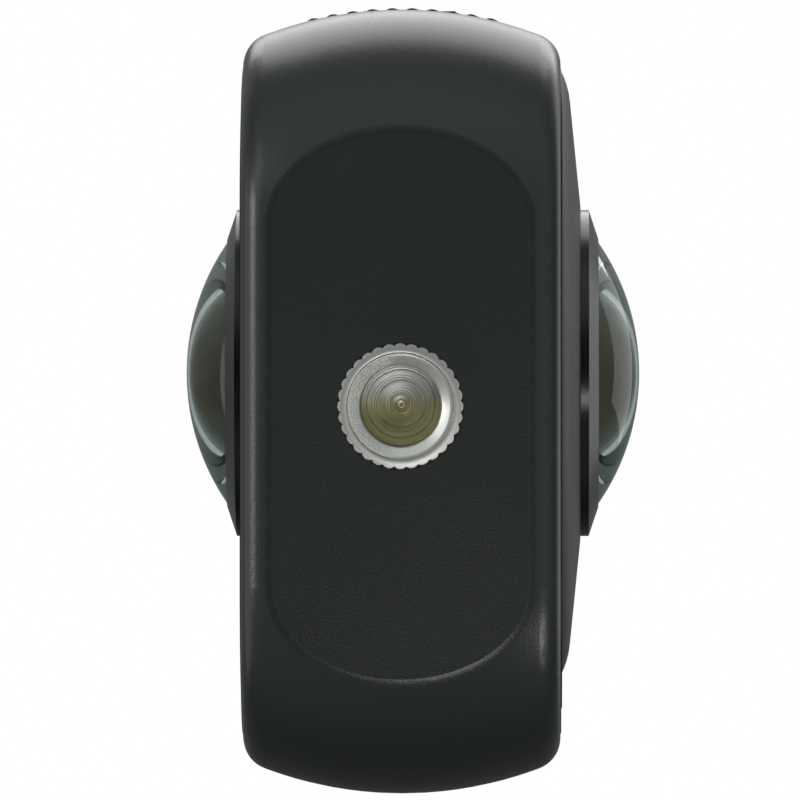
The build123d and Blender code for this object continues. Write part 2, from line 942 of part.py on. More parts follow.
with BuildPart() as battery_seal:
    ring_inner_half = plug_width / 2 + seal_groove_gap
    ring_inner_rise = seal_groove_gap
    add(
        span(
            (cap_seat - seal_ring_depth, cap_seat),
            (-ring_inner_half - seal_ring_width, ring_inner_half + seal_ring_width),
            (
                plug_low - ring_inner_rise - seal_ring_width,
                plug_high + ring_inner_rise + seal_ring_width,
            ),
        )
    )
    add(
        span(
            (cap_seat - seal_ring_depth, cap_seat),
            (-ring_inner_half, ring_inner_half),
            (plug_low - ring_inner_rise, plug_high + ring_inner_rise),
        ),
        mode=Mode.SUBTRACT,
    )
finish(battery_seal.part, "battery_seal")

with BuildPart() as latch_slider:
    add(crown_band(latch_width / 2, latch_floor_x + latch_gap, -latch_crown_sink, latch_low, latch_top))
    with BuildSketch(Plane.XZ.offset(-latch_width / 2)):
        ridge_x = crown_centre + sqrt((side_radius - latch_crown_sink) ** 2 - (latch_width / 2) ** 2)
        with Locations((ridge_x, (latch_low + latch_top) / 2)):
            with GridLocations(latch_ridge_pitch, latch_ridge_pitch, 1, latch_ridge_count):
                Circle(latch_ridge_radius)
    extrude(amount=latch_width)
    add(
        span(
            (tongue_low_x, tongue_low_x + tongue_thickness),
            (-tongue_width / 2, tongue_width / 2),
            (latch_top, tongue_tip),
        )
    )
finish(latch_slider.part, "latch_slider")

# Main board on its flanges, with its chips and a heat spreader
memory_low = board_low + memory_rise
processor_low = memory_low + memory_height + processor_gap
spreader_half = board_half_width - spreader_inset
with BuildPart() as main_board:
    add(span((-board_half_width, board_half_width), (board_near, board_far), (board_low, board_high)))
    add(
        span(
            (-board_foot_width / 2, board_foot_width / 2),
            (board_near, board_far),
            (board_foot_low, board_low),
        )
    )
    add(
        span(
            (board_ear_low_x, board_ear_low_x + board_ear_width),
            (board_near, board_far),
            (board_high, ear_high),
        )
    )
    add(pins_through(board_screws_at, screw_hole_radius, board_near, board_far),
        mode=Mode.SUBTRACT)
finish(main_board.part, "main_board")

with BuildPart() as processor_chip:
    add(
        span(
            (-processor_side / 2, processor_side / 2),
            (board_far, spreader_near),
            (processor_low, processor_low + processor_side),
        )
    )
finish(processor_chip.part, "processor_chip")

with BuildPart() as memory_chips:
    for side in (-1, 1):
        middle = side * memory_pitch / 2
        add(
            span(
                (middle - memory_width / 2, middle + memory_width / 2),
                (board_far, spreader_near),
                (memory_low, memory_low + memory_height),
            )
        )
finish(memory_chips.part, "memory_chips")

with BuildPart() as heat_spreader:
    add(
        span(
            (-spreader_half, spreader_half),
            (spreader_near, spreader_near + spreader_thickness),
            (memory_low - spreader_margin, processor_low + processor_side + spreader_margin),
        )
    )
finish(heat_spreader.part, "heat_spreader")


def screws(spots, seat, length, side):
    """Screws along Y with their heads outwards; side is 1 for heads towards the rear."""
    near, far = sorted((seat - side * length, seat))
    head_near, head_far = sorted((seat, seat + side * screw_head_height))
    drive_floor = seat + side * (screw_head_height - drive_depth)
    drive_near, drive_far = sorted((drive_floor, seat + side * screw_head_height))
    with BuildPart() as made:
        add(pins_through(spots, screw_shank_radius, near, far))
        add(pins_through(spots, screw_head_radius, head_near, head_far))
        add(pins_through(spots, drive_radius, drive_near, drive_far), mode=Mode.SUBTRACT)
    return made.part


with BuildPart() as board_screws:
    add(screws(board_screws_at, board_far, board_screw_length, 1))
finish(board_screws.part, "board_screws")

with BuildPart() as rear_cover_screws:
    add(screws(screw_spots, head_seat, screw_length, 1))
finish(rear_cover_screws.part, "rear_cover_screws")

with BuildPart() as front_cover_screws:
    add(screws(screw_spots, -head_seat, screw_length, -1))
finish(front_cover_screws.part, "front_cover_screws")

# Lens carrier between the two lens sets, on four bosses of the frame
with BuildPart() as lens_carrier:
    add(outline_slab(wall + carrier_gap, carrier_near, carrier_far))
    add(
        span((-half_width, half_width), (carrier_near, carrier_far), (carrier_low, carrier_high)),
        mode=Mode.INTERSECT,
    )
    add(pins_through(carrier_spots, screw_hole_radius, carrier_near, carrier_far),
        mode=Mode.SUBTRACT)
finish(lens_carrier.part, "lens_carrier")

with BuildPart() as carrier_screws:
    add(screws(carrier_spots, carrier_far, screw_length, 1))
finish(carrier_screws.part, "carrier_screws")

# Radio antenna, a ceramic bar on a small board along the top of the carrier
with BuildPart() as wifi_antenna:
    add(
        span(
            (-antenna_width / 2, antenna_width / 2),
            (-antenna_depth / 2, antenna_depth / 2),
            (carrier_high, carrier_high + antenna_thickness),
        )
    )
    add(
        span(
            (-antenna_width / 4, antenna_width / 4),
            (-antenna_depth / 4, antenna_depth / 4),
            (carrier_high + antenna_thickness, carrier_high + antenna_thickness + antenna_block),
        )
    )
finish(wifi_antenna.part, "wifi_antenna")

with BuildPart() as microphones:
    for side in (-1, 1):
        add(
            span(
                (side * mic_spread - mic_width / 2, side * mic_spread + mic_width / 2),
                (-mic_depth / 2, mic_depth / 2),
                (mic_seat_height - mic_height, mic_seat_height),
            )
        )
finish(microphones.part, "microphones")

# Lens sets, alike at the front and the rear
board_seat = carrier_far
sensor_seat = board_seat + sensor_board_thickness
chamber_depth = sensor_seat + sensor_thickness + contact_gap
chamber_radius = sqrt(sensor_width**2 + sensor_height**2) / 2 + glass_gap
rear_group_seat = chamber_depth + rear_group_bulge
rear_group_top = rear_group_seat + rear_group_length
middle_lens_seat = rear_group_top + rear_group_bulge
throat_seat = bezel_seat_depth - throat_depth
flange_low = barrel_flange_depth - barrel_flange_thickness
neck_radius = bezel_radius - barrel_neck_gap
dome_apex_depth = cover_face + dome_rise
dome_centre = dome_apex_depth - dome_radius
hollow_centre = dome_apex_depth - dome_wall - dome_hollow_radius
head_sphere = dome_hollow_radius - middle_lens_head_gap
head_seat = throat_seat + glass_gap
head_radius = sqrt(head_sphere**2 - (head_seat - hollow_centre) ** 2)
dome_rim_depth = dome_centre + sqrt(dome_radius**2 - dome_rim_radius**2)
lip_on_dome = dome_centre + sqrt(dome_radius**2 - bezel_lip_radius**2) + glass_gap
bezel_lip_depth = lip_on_dome + bezel_lip_proud
bezel_edge_depth = bezel_lip_depth - bezel_edge_drop
hollow_mouth = sqrt(dome_hollow_radius**2 - (bezel_seat_depth - hollow_centre) ** 2)


def bulged_lens(radius, seat, shoulder, bulge):
    """Half section of a lens with a flat back, a round wall and a domed front."""
    sphere = (radius**2 + bulge**2) / (2 * bulge)
    with BuildSketch() as section:
        with BuildLine():
            front = CenterArc((0, shoulder + bulge - sphere), sphere, 90, -degrees(asin(radius / sphere)))
            Polyline(front @ 1, (radius, seat), (0, seat), front @ 0)
        make_face()
    return section.sketch


for side, end in ((-1, "front"), (1, "rear")):
    meridian = Plane((0, 0, lens_height), x_dir=(1, 0, 0), z_dir=(0, 0, side))

    # sensor board and the sensor on it
    with BuildPart() as sensor_board:
        add(
            span(
                (-sensor_board_side / 2, sensor_board_side / 2),
                sorted((side * board_seat, side * sensor_seat)),
                (lens_height - sensor_board_side / 2, lens_height + sensor_board_side / 2),
            )
        )
    finish(sensor_board.part, f"{end}_sensor_board")

    with BuildPart() as image_sensor:
        add(
            span(
                (-sensor_width / 2, sensor_width / 2),
                sorted((side * sensor_seat, side * (sensor_seat + sensor_thickness))),
                (lens_height - sensor_height / 2, lens_height + sensor_height / 2),
            )
        )
    finish(image_sensor.part, f"{end}_image_sensor")

    # barrel: foot on the board, stepped bore, flange behind the cover, neck up to the bezel
    with BuildPart() as lens_barrel:
        with BuildSketch(meridian):
            with BuildLine():
                Polyline(
                    (barrel_foot_radius, sensor_seat),
                    (barrel_foot_radius, sensor_seat + barrel_foot_height),
                    (barrel_radius, sensor_seat + barrel_foot_height),
                    (barrel_radius, flange_low),
                    (barrel_flange_radius, flange_low),
                    (barrel_flange_radius, barrel_flange_depth),
                    (neck_radius, barrel_flange_depth),
                    (neck_radius, bezel_seat_depth),
                    (throat_radius, bezel_seat_depth),
                    (throat_radius, throat_seat),
                    (middle_lens_radius + glass_gap, throat_seat),
                    (middle_lens_radius + glass_gap, middle_lens_seat),
                    (rear_group_radius + glass_gap, middle_lens_seat),
                    (rear_group_radius + glass_gap, rear_group_seat),
                    (rear_group_radius - rear_group_lip, rear_group_seat),
                    (rear_group_radius - rear_group_lip, chamber_depth),
                    (chamber_radius, chamber_depth),
                    (chamber_radius, sensor_seat),
                    close=True,
                )
            make_face()
        revolve(axis=lens_axis)
    finish(lens_barrel.part, f"{end}_lens_barrel")

    # rear lens group, flat behind and bulging outwards
    with BuildPart() as lens_rear_group:
        with BuildSketch(meridian):
            add(bulged_lens(rear_group_radius, rear_group_seat, rear_group_top, rear_group_bulge - glass_gap))
        revolve(axis=lens_axis)
    finish(lens_rear_group.part, f"{end}_lens_rear_group")

    # middle element, whose round head fills most of the hollow in the dome
    with BuildPart() as lens_middle_element:
        with BuildSketch(meridian):
            with BuildLine():
                head = CenterArc(
                    (0, hollow_centre), head_sphere, 90, -degrees(asin(head_radius / head_sphere))
                )
                Polyline(
                    head @ 1,
                    (middle_lens_radius, head_seat),
                    (middle_lens_radius, middle_lens_seat),
                    (0, middle_lens_seat),
                    head @ 0,
                )
            make_face()
        revolve(axis=lens_axis)
    finish(lens_middle_element.part, f"{end}_lens_middle_element")

    # outer dome, ground hollow from behind
    with BuildPart() as lens_dome:
        with BuildSketch(meridian):
            with BuildLine():
                hollow = CenterArc((0, hollow_centre), dome_hollow_radius, 90,
                                   -degrees(asin(hollow_mouth / dome_hollow_radius)))
                rim_wall = Polyline(
                    hollow @ 1, (dome_rim_radius, bezel_seat_depth), (dome_rim_radius, dome_rim_depth)
                )
                skin = CenterArc(
                    (0, dome_centre), dome_radius, 90, -degrees(asin(dome_rim_radius / dome_radius))
                )
                Line(skin @ 0, hollow @ 0)
            make_face()
        revolve(axis=lens_axis)
    finish(lens_dome.part, f"{end}_lens_dome")

    # bezel ring over the edge of the dome
    with BuildPart() as lens_bezel:
        with BuildSketch(meridian):
            with BuildLine():
                Polyline(
                    (bezel_radius, bezel_seat_depth),
                    (bezel_radius, bezel_edge_depth),
                    (bezel_lip_radius, bezel_lip_depth),
                    (bezel_lip_radius, lip_on_dome),
                    (dome_rim_radius + glass_gap, dome_rim_depth + glass_gap),
                    (dome_rim_radius + glass_gap, bezel_seat_depth),
                    close=True,
                )
            make_face()
        revolve(axis=lens_axis)
    finish(lens_bezel.part, f"{end}_lens_bezel")

    # seal between the barrel's flange and the back of the cover
    with BuildPart() as lens_seal:
        with BuildSketch(meridian):
            with BuildLine():
                Polyline(
                    (barrel_flange_radius, barrel_flange_depth),
                    (barrel_flange_radius, cover_back),
                    (barrel_flange_radius - seal_width, cover_back),
                    (barrel_flange_radius - seal_width, barrel_flange_depth),
                    close=True,
                )
            make_face()
        revolve(axis=lens_axis)
    finish(lens_seal.part, f"{end}_lens_seal")

# Port bezel on the -X side, with the mouths of the sockets
with BuildPart() as port_bezel:
    add(
        mirror(
            crown_band(port_width / 2, port_seat, port_proud, port_low, port_high),
            about=Plane.YZ,
            mode=Mode.PRIVATE,
        )
    )
    with BuildSketch(Plane.YZ.offset(-half_width - overrun)):
        with Locations((0, usb_height)):
            SlotOverall(usb_slot_width, usb_slot_height)
    extrude(amount=port_seat_inset + overrun, mode=Mode.SUBTRACT)
    add(
        span(
            (-half_width - overrun, -port_seat),
            (-card_slot_half, card_slot_half),
            (card_height - card_thickness / 2 - card_gap, card_height + card_thickness / 2 + card_gap),
        ),
        mode=Mode.SUBTRACT,
    )
    add(
        pins_across(speaker_spots, sound_hole_radius, -half_width - overrun, -port_seat), mode=Mode.SUBTRACT
    )
finish(port_bezel.part, "port_bezel")

# Oval socket shell with its tongue, on a small board of its own
usb_outer = -half_width + usb_recess
usb_inner = usb_outer + usb_length
with BuildPart() as usb_socket:
    with BuildSketch(Plane.YZ.offset(usb_outer)):
        with Locations((0, usb_height)):
            SlotOverall(usb_width, usb_thickness)
    extrude(amount=usb_length)
    with BuildSketch(Plane.YZ.offset(usb_outer)):
        with Locations((0, usb_height)):
            SlotOverall(usb_width - 2 * usb_wall, usb_thickness - 2 * usb_wall)
    extrude(amount=usb_length - usb_back, mode=Mode.SUBTRACT)
finish(usb_socket.part, "usb_socket")

with BuildPart() as usb_tongue:
    tongue_outer = usb_inner - usb_back - usb_tongue_length
    add(
        span(
            (tongue_outer, usb_inner - usb_back),
            (-tongue_side / 2, tongue_side / 2),
            (usb_height - usb_tongue_thickness / 2, usb_height + usb_tongue_thickness / 2),
        )
    )
finish(usb_tongue.part, "usb_tongue")

with BuildPart() as port_board:
    add(
        span(
            (bracket_outer, bracket_outer + port_board_length),
            (-port_board_half_width, port_board_half_width),
            (bracket_top, bracket_top + port_board_thickness),
        )
    )
finish(port_board.part, "port_board")

# Card socket on the shelf, and the memory card in it
socket_outer = -cavity_half_width + board_gap
socket_inner = card_inner + card_shell + card_gap
slot_low = card_height - card_thickness / 2 - card_gap
slot_high = card_height + card_thickness / 2 + card_gap
with BuildPart() as card_socket:
    add(
        span(
            (socket_outer, socket_inner),
            (-card_slot_half - card_shell, card_slot_half + card_shell),
            (chassis_high, slot_high + card_shell),
        )
    )
    add(
        span(
            (socket_outer, card_inner + card_gap),
            (-card_slot_half, card_slot_half),
            (slot_low, slot_high),
        ),
        mode=Mode.SUBTRACT,
    )
finish(card_socket.part, "card_socket")

with BuildPart() as memory_card:
    add(
        span(
            (card_outer, card_inner),
            (-card_width / 2, card_width / 2),
            (card_height - card_thickness / 2, card_height + card_thickness / 2),
        )
    )
finish(memory_card.part, "memory_card")

# Small speaker on the end of the bay, facing its three holes
with BuildPart() as speaker:
    add(
        span(
            (chassis_end - speaker_depth, chassis_end),
            (-speaker_width / 2, speaker_width / 2),
            (speaker_low, speaker_low + speaker_height),
        )
    )
finish(speaker.part, "speaker")
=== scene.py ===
import bpy
import numpy as np
from mathutils import Matrix, Vector


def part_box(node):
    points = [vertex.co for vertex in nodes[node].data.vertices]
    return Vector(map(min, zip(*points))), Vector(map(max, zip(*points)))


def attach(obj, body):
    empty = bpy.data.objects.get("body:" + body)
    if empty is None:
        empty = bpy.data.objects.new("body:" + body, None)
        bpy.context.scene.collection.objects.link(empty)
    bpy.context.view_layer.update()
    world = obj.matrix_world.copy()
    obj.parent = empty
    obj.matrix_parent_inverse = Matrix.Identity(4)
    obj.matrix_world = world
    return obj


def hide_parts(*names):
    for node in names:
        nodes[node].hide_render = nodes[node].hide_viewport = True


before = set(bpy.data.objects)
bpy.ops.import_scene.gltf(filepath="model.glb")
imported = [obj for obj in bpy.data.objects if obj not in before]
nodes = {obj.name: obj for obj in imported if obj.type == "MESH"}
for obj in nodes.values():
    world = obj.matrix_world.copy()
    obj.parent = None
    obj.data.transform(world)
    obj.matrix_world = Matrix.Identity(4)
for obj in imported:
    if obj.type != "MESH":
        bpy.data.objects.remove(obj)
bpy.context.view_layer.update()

# Camera: it stands 0.9 m under the small foot and looks straight up at it, as in the photograph.
# The camera's right is the object's rear (+Y), and its up is the battery side (+X).
eye = Vector((0.0224, 0.00846, -0.910))
aim = Vector((0.00039, -0.00002, 0.0))
lens_length = 670.7
sensor_width = 36.0
far_clip = 6.0
camera_data = bpy.data.cameras.new("camera")
camera_data.lens = lens_length
camera_data.sensor_width = sensor_width
camera_data.clip_end = far_clip
camera = bpy.data.objects.new("camera", camera_data)
bpy.context.scene.collection.objects.link(camera)
backwards = (eye - aim).normalized()
upwards = Vector((1, 0, 0))
rightwards = upwards.cross(backwards).normalized()
upwards = backwards.cross(rightwards)
turn = Matrix((rightwards, upwards, backwards)).transposed()
camera.matrix_world = Matrix.Translation(eye) @ turn.to_4x4()
bpy.context.scene.camera = camera
bpy.context.scene.view_settings.view_transform = "Standard"

# World: white behind the object, through its glass, and in reflections that head for the backdrop.
# For every other ray it is a dim studio: dark straight below, where the camera stands, brighter round
# it, and dimmer on the socket side.
studio_colour = (0.93, 1.0, 0.97, 1)
studio_by_height = (
    (0.0, 0.05), (0.05, 0.10), (0.13, 0.44), (0.35, 0.46), (0.5, 0.26), (0.65, 0.10), (1.0, 0.09),
)
socket_side_share = 0.4
battery_side_share = 1.35
white_glass_start = 0.60
white_glass_end = 0.85
white_glass_share = 0.6
white_mirror_start = 0.15
white_mirror_end = 0.75
mirror_low_side = -0.3
mirror_high_side = 0.8
mirror_low_share = 0.02
mirror_high_share = 0.40
world = bpy.data.worlds.new("studio")
bpy.context.scene.world = world
world.use_nodes = True
world_nodes = world.node_tree.nodes
world_links = world.node_tree.links
world_nodes.clear()
paths = world_nodes.new("ShaderNodeLightPath")
seen = world_nodes.new("ShaderNodeMath")
seen.operation = "MAXIMUM"
world_links.new(paths.outputs["Is Camera Ray"], seen.inputs[0])
heading = world_nodes.new("ShaderNodeTexCoord")
split_heading = world_nodes.new("ShaderNodeSeparateXYZ")
world_links.new(heading.outputs["Generated"], split_heading.inputs[0])
sideways = world_nodes.new("ShaderNodeMath")
sideways.operation = "ABSOLUTE"
world_links.new(split_heading.outputs["Y"], sideways.inputs[0])
behind_glass = world_nodes.new("ShaderNodeMapRange")
behind_glass.inputs["From Min"].default_value = white_glass_end
behind_glass.inputs["From Max"].default_value = white_glass_start
behind_glass.inputs["To Max"].default_value = white_glass_share
world_links.new(sideways.outputs[0], behind_glass.inputs["Value"])
through = world_nodes.new("ShaderNodeMath")
through.operation = "MULTIPLY"
world_links.new(paths.outputs["Is Transmission Ray"], through.inputs[0])
world_links.new(behind_glass.outputs["Result"], through.inputs[1])
backdrop = world_nodes.new("ShaderNodeMapRange")
backdrop.inputs["From Min"].default_value = white_mirror_start
backdrop.inputs["From Max"].default_value = white_mirror_end
world_links.new(split_heading.outputs["Z"], backdrop.inputs["Value"])
leaning = world_nodes.new("ShaderNodeMapRange")
leaning.inputs["From Min"].default_value = mirror_low_side
leaning.inputs["From Max"].default_value = mirror_high_side
leaning.inputs["To Min"].default_value = mirror_low_share
leaning.inputs["To Max"].default_value = mirror_high_share
world_links.new(split_heading.outputs["X"], leaning.inputs["Value"])
backdrop_share = world_nodes.new("ShaderNodeMath")
backdrop_share.operation = "MULTIPLY"
world_links.new(backdrop.outputs["Result"], backdrop_share.inputs[0])
world_links.new(leaning.outputs["Result"], backdrop_share.inputs[1])
mirrored = world_nodes.new("ShaderNodeMath")
mirrored.operation = "MULTIPLY"
world_links.new(paths.outputs["Is Glossy Ray"], mirrored.inputs[0])
world_links.new(backdrop_share.outputs[0], mirrored.inputs[1])
beyond = world_nodes.new("ShaderNodeMath")
beyond.operation = "MAXIMUM"
world_links.new(through.outputs[0], beyond.inputs[0])
world_links.new(mirrored.outputs[0], beyond.inputs[1])
world_links.new(beyond.outputs[0], seen.inputs[1])
rise = world_nodes.new("ShaderNodeMapRange")
rise.inputs["From Min"].default_value = -1
world_links.new(split_heading.outputs["Z"], rise.inputs["Value"])
bands = world_nodes.new("ShaderNodeValToRGB")
while len(bands.color_ramp.elements) < len(studio_by_height):
    bands.color_ramp.elements.new(1.0)
for stop, (place, grey) in zip(bands.color_ramp.elements, studio_by_height):
    stop.position = place
    stop.color = (grey, grey, grey, 1)
world_links.new(rise.outputs["Result"], bands.inputs["Fac"])
across = world_nodes.new("ShaderNodeMapRange")
across.inputs["From Min"].default_value = -1
across.inputs["To Min"].default_value = socket_side_share
across.inputs["To Max"].default_value = battery_side_share
world_links.new(split_heading.outputs["X"], across.inputs["Value"])
level = world_nodes.new("ShaderNodeMath")
level.operation = "MULTIPLY"
world_links.new(bands.outputs["Color"], level.inputs[0])
world_links.new(across.outputs["Result"], level.inputs[1])
dim = world_nodes.new("ShaderNodeBackground")
dim.inputs["Color"].default_value = studio_colour
world_links.new(level.outputs[0], dim.inputs["Strength"])
white = world_nodes.new("ShaderNodeBackground")
white.inputs["Color"].default_value = (1, 1, 1, 1)
either = world_nodes.new("ShaderNodeMixShader")
world_out = world_nodes.new("ShaderNodeOutputWorld")
world_links.new(seen.outputs[0], either.inputs["Fac"])
world_links.new(dim.outputs[0], either.inputs[1])
world_links.new(white.outputs[0], either.inputs[2])
world_links.new(either.outputs[0], world_out.inputs["Surface"])


# Lights: a large soft box over the battery side, weaker ones behind the top, at the front and low on
# that side, a small one that reaches the floor of the tripod socket, and two low ones whose reflections
# lie in the chamfer of the socket.
def soft_box(name, place, target, width, height, power):
    """An area light at a place, turned to a target; neither the camera nor the glass shows it."""
    data = bpy.data.lights.new(name, "AREA")
    data.shape = "RECTANGLE"
    data.size = width
    data.size_y = height
    data.energy = power
    lamp = bpy.data.objects.new(name, data)
    lamp.visible_camera = False
    lamp.visible_transmission = False
    bpy.context.scene.collection.objects.link(lamp)
    lamp.location = place
    lamp.rotation_euler = (Vector(target) - Vector(place)).to_track_quat("-Z", "Y").to_euler()


soft_box(
    "key_light", place=(0.48, 0.05, 0.58), target=(0, 0, 0.03),
    width=0.8, height=0.66, power=3.6,
)
soft_box(
    "back_light", place=(0.15, 0.7, 0.9), target=(0, 0, 0.05),
    width=0.7, height=0.5, power=0.6,
)
soft_box(
    "fill_light", place=(-0.1, -0.9, 0.2), target=(0, 0, 0.05),
    width=0.6, height=0.6, power=0.7,
)
soft_box(
    "bore_light", place=(-0.25, 0.07, -0.74), target=(0, 0, 0.005),
    width=0.12, height=0.12, power=0.5,
)
soft_box(
    "side_light", place=(0.08, -0.8, -0.19), target=(0, 0, 0),
    width=0.22, height=0.22, power=1.0,
)
soft_box(
    "chamfer_light", place=(0.36, -0.61, -0.36), target=(0, 0, 0),
    width=0.25, height=0.25, power=0.28,
)
soft_box(
    "far_chamfer_light", place=(-0.34, 0.63, -0.36), target=(0, 0, 0),
    width=0.20, height=0.20, power=0.8,
)


# Floor: a pale sheet just under the foot that only shows from above, so the view from below is clear.
# It fades out with distance, and it is part of the stage, not of the camera.
floor_half = 0.6
floor_solid = 0.10
floor_gone = 0.42
floor_drop = 0.0002
floor_glow = 0.72
floor_grey = 0.3
floor_mesh = bpy.data.meshes.new("floor")
floor_mesh.from_pydata(
    [(x * floor_half, y * floor_half, -floor_drop) for x, y in ((-1, -1), (1, -1), (1, 1), (-1, 1))],
    [],
    [(0, 1, 2, 3)],
)
floor = bpy.data.objects.new("floor", floor_mesh)
bpy.context.scene.collection.objects.link(floor)
floor_look = bpy.data.materials.new("floor")
floor_look.use_nodes = True
floor_nodes = floor_look.node_tree.nodes
floor_links = floor_look.node_tree.links
floor_nodes.clear()
floor_path = floor_nodes.new("ShaderNodeLightPath")
floor_side = floor_nodes.new("ShaderNodeNewGeometry")
floor_upper = floor_nodes.new("ShaderNodeMath")
floor_upper.operation = "SUBTRACT"
floor_upper.use_clamp = True
floor_links.new(floor_path.outputs["Is Camera Ray"], floor_upper.inputs[0])
floor_links.new(floor_side.outputs["Backfacing"], floor_upper.inputs[1])
floor_lit = floor_nodes.new("ShaderNodeBsdfDiffuse")
floor_lit.inputs["Color"].default_value = (floor_grey, floor_grey, floor_grey, 1)
floor_white = floor_nodes.new("ShaderNodeEmission")
floor_white.inputs["Strength"].default_value = floor_glow
floor_sum = floor_nodes.new("ShaderNodeAddShader")
floor_clear = floor_nodes.new("ShaderNodeBsdfTransparent")
floor_mix = floor_nodes.new("ShaderNodeMixShader")
floor_out = floor_nodes.new("ShaderNodeOutputMaterial")
floor_links.new(floor_lit.outputs[0], floor_sum.inputs[0])
floor_links.new(floor_white.outputs[0], floor_sum.inputs[1])
floor_place = floor_nodes.new("ShaderNodeTexCoord")
floor_reach = floor_nodes.new("ShaderNodeVectorMath")
floor_reach.operation = "LENGTH"
floor_links.new(floor_place.outputs["Object"], floor_reach.inputs[0])
floor_fade = floor_nodes.new("ShaderNodeMapRange")
floor_fade.interpolation_type = "SMOOTHSTEP"
floor_fade.inputs["From Min"].default_value = floor_gone
floor_fade.inputs["From Max"].default_value = floor_solid
floor_links.new(floor_reach.outputs["Value"], floor_fade.inputs["Value"])
floor_share = floor_nodes.new("ShaderNodeMath")
floor_share.operation = "MULTIPLY"
floor_links.new(floor_upper.outputs[0], floor_share.inputs[0])
floor_links.new(floor_fade.outputs["Result"], floor_share.inputs[1])
floor_links.new(floor_share.outputs[0], floor_mix.inputs["Fac"])
floor_links.new(floor_clear.outputs[0], floor_mix.inputs[1])
floor_links.new(floor_sum.outputs[0], floor_mix.inputs[2])
floor_links.new(floor_mix.outputs[0], floor_out.inputs["Surface"])
floor_mesh.materials.append(floor_look)


# Casing: one moulded frame of near-black plastic, with a fine leathery spark-eroded grain that catches
# the light.
grain_detail = 3
grain_roughness = 0.6
wear_scale = 90
wear_detail = 2
gloss_spread = 0.05


def grained(name, colour, pale, roughness, cell, relief, metal=0.0, specular=0.5, coat=0.0):
    """A solid material, mottled from colour towards pale; its grain's cell and relief are in metres."""
    made = bpy.data.materials.new(name)
    made.use_nodes = True
    tree = made.node_tree
    shader = tree.nodes["Principled BSDF"]
    shader.inputs["Metallic"].default_value = metal
    shader.inputs["Specular IOR Level"].default_value = specular
    shader.inputs["Coat Weight"].default_value = coat
    place = tree.nodes.new("ShaderNodeTexCoord")
    grain = tree.nodes.new("ShaderNodeTexNoise")
    grain.inputs["Scale"].default_value = 1 / cell
    grain.inputs["Detail"].default_value = grain_detail
    grain.inputs["Roughness"].default_value = grain_roughness
    tree.links.new(place.outputs["Object"], grain.inputs["Vector"])
    wear = tree.nodes.new("ShaderNodeTexNoise")
    wear.inputs["Scale"].default_value = wear_scale
    wear.inputs["Detail"].default_value = wear_detail
    tree.links.new(place.outputs["Object"], wear.inputs["Vector"])
    shades = tree.nodes.new("ShaderNodeMix")
    shades.data_type = "RGBA"
    shades.inputs["A"].default_value = (*colour, 1)
    shades.inputs["B"].default_value = (*pale, 1)
    tree.links.new(grain.outputs["Fac"], shades.inputs["Factor"])
    tree.links.new(shades.outputs["Result"], shader.inputs["Base Color"])
    gloss = tree.nodes.new("ShaderNodeMapRange")
    gloss.inputs["To Min"].default_value = roughness - gloss_spread
    gloss.inputs["To Max"].default_value = roughness + gloss_spread
    tree.links.new(wear.outputs["Fac"], gloss.inputs["Value"])
    tree.links.new(gloss.outputs["Result"], shader.inputs["Roughness"])
    bump = tree.nodes.new("ShaderNodeBump")
    bump.inputs["Distance"].default_value = relief
    tree.links.new(grain.outputs["Fac"], bump.inputs["Height"])
    tree.links.new(bump.outputs["Normal"], shader.inputs["Normal"])
    return made


def dress(names, material):
    """Gives one material to each CAD node named."""
    for name in names:
        mesh = nodes[name].data
        mesh.materials.clear()
        mesh.materials.append(material)


casing_look = grained(
    "casing_plastic", (0.022, 0.0262, 0.0250), (0.033, 0.039, 0.0375),
    roughness=0.27, cell=0.00016, relief=0.000011,
)
dress(["main_frame"], casing_look)

# Covers: two moulded shells of the same plastic with a finer grain, screwed into the frame, one on
# each face.
cover_look = grained(
    "cover_plastic", (0.018, 0.021, 0.0203), (0.031, 0.036, 0.035),
    roughness=0.38, cell=0.00012, relief=0.000016,
)
dress(["front_cover", "rear_cover"], cover_look)

# Battery cap and its latch: the cap is the casing's plastic, moulded a little smoother, and carries
# the cell. The latch is a paler slide on it, with ribs for the thumb.
cap_look = grained(
    "cap_plastic", (0.018, 0.019, 0.019), (0.034, 0.036, 0.035),
    roughness=0.38, cell=0.00014, relief=0.000014,
)
dress(["battery_cap"], cap_look)
latch_look = grained(
    "latch_plastic", (0.055, 0.056, 0.058), (0.08, 0.081, 0.083),
    roughness=0.45, cell=0.00014, relief=0.00001,
)
dress(["latch_slider"], latch_look)

# Buttons: two moulded caps of satin plastic, dished for the finger, each in front of its switch. A red
# ring is printed on the shutter button and a grey one on the power button.
button_look = grained(
    "button_plastic", (0.03, 0.031, 0.033), (0.045, 0.046, 0.048),
    roughness=0.33, cell=0.0001, relief=0.000006,
)
dress(["shutter_button", "power_button"], button_look)
ink_edge = 0.00003


